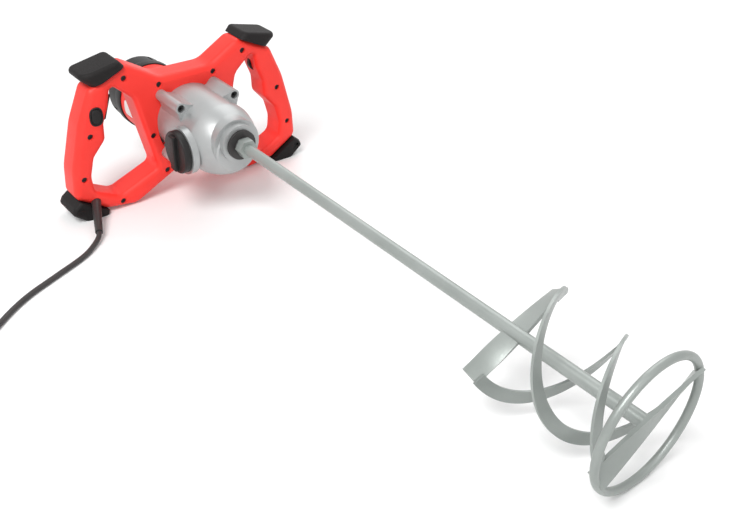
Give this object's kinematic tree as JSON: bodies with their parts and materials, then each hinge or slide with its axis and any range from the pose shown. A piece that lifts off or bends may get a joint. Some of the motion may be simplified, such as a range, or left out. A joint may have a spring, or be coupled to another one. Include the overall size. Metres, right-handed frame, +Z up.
{
  "type": "mixing drill",
  "caption": "Two-handed electric mixing drill with looped grips, corner bumpers, geared spindle and a helical ribbon paddle, lying on its bumpers and the paddle's ring.",
  "frame": {"origin": "under the middle of the drill's box, without its cord, on the floor", "axes": "+X towards the paddle's ring along the floor, +Y to the grip with the thumbwheel, +Z up"},
  "size_m": [0.9242, 0.6545, 0.2076],
  "materials": {
    "red_plastic": "satin moulded plastic",
    "bumper_rubber": "matt",
    "dark_plastic": "satin",
    "black_rubber": "matt",
    "cast_aluminium": "fine cast",
    "painted_steel": "light grey paint",
    "bronze": "turned",
    "copper_wire": "enamelled wire",
    "lamination": "stacked sheets",
    "carbon": "matt",
    "steel": "machined"
  },
  "bodies": {
    "frame": {"front_housing": "red_plastic", "rear_housing": "red_plastic", "housing_screws": "steel", "upper_left_bumper": "bumper_rubber", "upper_right_bumper": "bumper_rubber", "lower_left_bumper": "bumper_rubber", "lower_right_bumper": "bumper_rubber", "motor_housing": "red_plastic", "rear_cap": "dark_plastic", "cap_screws": "steel", "stator_core": "lamination", "field_coils": "copper_wire", "brush_holders": "dark_plastic", "brushes": "carbon", "gear_housing": "cast_aluminium", "gear_plate": "cast_aluminium", "gear_housing_screws": "steel", "nose_bearing": "steel", "spindle_bush": "bronze", "countershaft_bush": "bronze", "countershaft_bearing": "steel", "armature_front_bearing": "steel", "armature_rear_bearing": "steel", "nose_seal": "black_rubber", "fork_rail": "steel", "switch": "dark_plastic", "speed_module": "dark_plastic", "cord_gland": "black_rubber", "power_cord": "black_rubber", "cord_coil": "black_rubber", "coil_tie": "black_rubber", "plug": "black_rubber", "plug_pins": "bronze"},
    "spindle": {"spindle": "steel", "low_gear": "steel", "paddle_shaft": "painted_steel", "paddle_collar": "painted_steel", "paddle_arm_1": "painted_steel", "paddle_arm_2": "painted_steel", "paddle_ribbon_1": "painted_steel", "paddle_ribbon_2": "painted_steel", "paddle_ring": "painted_steel", "paddle_crossbar": "painted_steel"},
    "countershaft": {"countershaft": "steel", "countershaft_input_gear": "steel", "countershaft_low_pinion": "steel", "countershaft_high_pinion": "steel"},
    "armature": {"armature_shaft": "steel", "armature_core": "lamination", "armature_windings": "copper_wire", "commutator": "bronze", "fan": "dark_plastic"},
    "high_gear": {"high_gear": "steel"},
    "shift_sleeve": {"shift_sleeve": "steel"},
    "shift_fork": {"shift_fork": "steel"},
    "selector": {"selector_knob": "dark_plastic", "selector_shaft": "steel"},
    "trigger": {"trigger": "dark_plastic"},
    "lock_button": {"lock_button": "dark_plastic"},
    "speed_dial": {"speed_dial": "dark_plastic"}
  },
  "joints": [
    {"name": "spindle_spin", "type": "hinge", "parent": "frame", "child": "spindle", "pos_m": [-0.16781, 0, 0.10927], "axis": [0.998, 0, -0.0634], "continuous": true},
    {"name": "countershaft_spin", "type": "hinge", "parent": "frame", "child": "countershaft", "pos_m": [-0.26047, 0.0186, 0.08922], "axis": [0.998, 0, -0.0634], "continuous": true},
    {"name": "armature_spin", "type": "hinge", "parent": "frame", "child": "armature", "pos_m": [-0.34386, 0, 0.09841], "axis": [0.998, 0, -0.0634], "continuous": true},
    {"name": "high_gear_spin", "type": "hinge", "parent": "frame", "child": "high_gear", "pos_m": [-0.28458, 0, 0.11669], "axis": [0.998, 0, -0.0634], "continuous": true},
    {"name": "selector_turn", "type": "hinge", "parent": "frame", "child": "selector", "pos_m": [-0.23289, -0.052, 0.09437], "axis": [0, -1, 0], "range_deg": [0, 180]},
    {"name": "fork_slide", "type": "slide", "parent": "frame", "child": "shift_fork", "axis": [0.998, 0, -0.0634], "range_m": [-0.006, 0]},
    {"name": "sleeve_slide", "type": "slide", "parent": "spindle", "child": "shift_sleeve", "axis": [0.998, 0, -0.0634], "range_m": [-0.006, 0]},
    {"name": "trigger_pull", "type": "slide", "parent": "frame", "child": "trigger", "axis": [0, -1, 0], "range_m": [0, 0.005], "stiffness_N_per_m": 800, "springref_m": -0.004},
    {"name": "lock_press", "type": "slide", "parent": "frame", "child": "lock_button", "axis": [-0.998, 0, 0.0634], "range_m": [0, 0.003], "stiffness_N_per_m": 600, "springref_m": -0.002},
    {"name": "speed_turn", "type": "hinge", "parent": "frame", "child": "speed_dial", "pos_m": [-0.31935, 0.11806, 0.15296], "axis": [0.998, 0, -0.0634], "range_deg": [0, 270]}
  ],
  "couplings": [
    {"joint": "countershaft_spin", "follows": "spindle_spin", "ratio": -2.9231},
    {"joint": "armature_spin", "follows": "spindle_spin", "ratio": 10.962},
    {"joint": "high_gear_spin", "follows": "spindle_spin", "ratio": 1.8859},
    {"joint": "fork_slide", "follows": "selector_turn", "m_per_rad": -0.0019099},
    {"joint": "sleeve_slide", "follows": "selector_turn", "m_per_rad": -0.0019099}
  ]
}
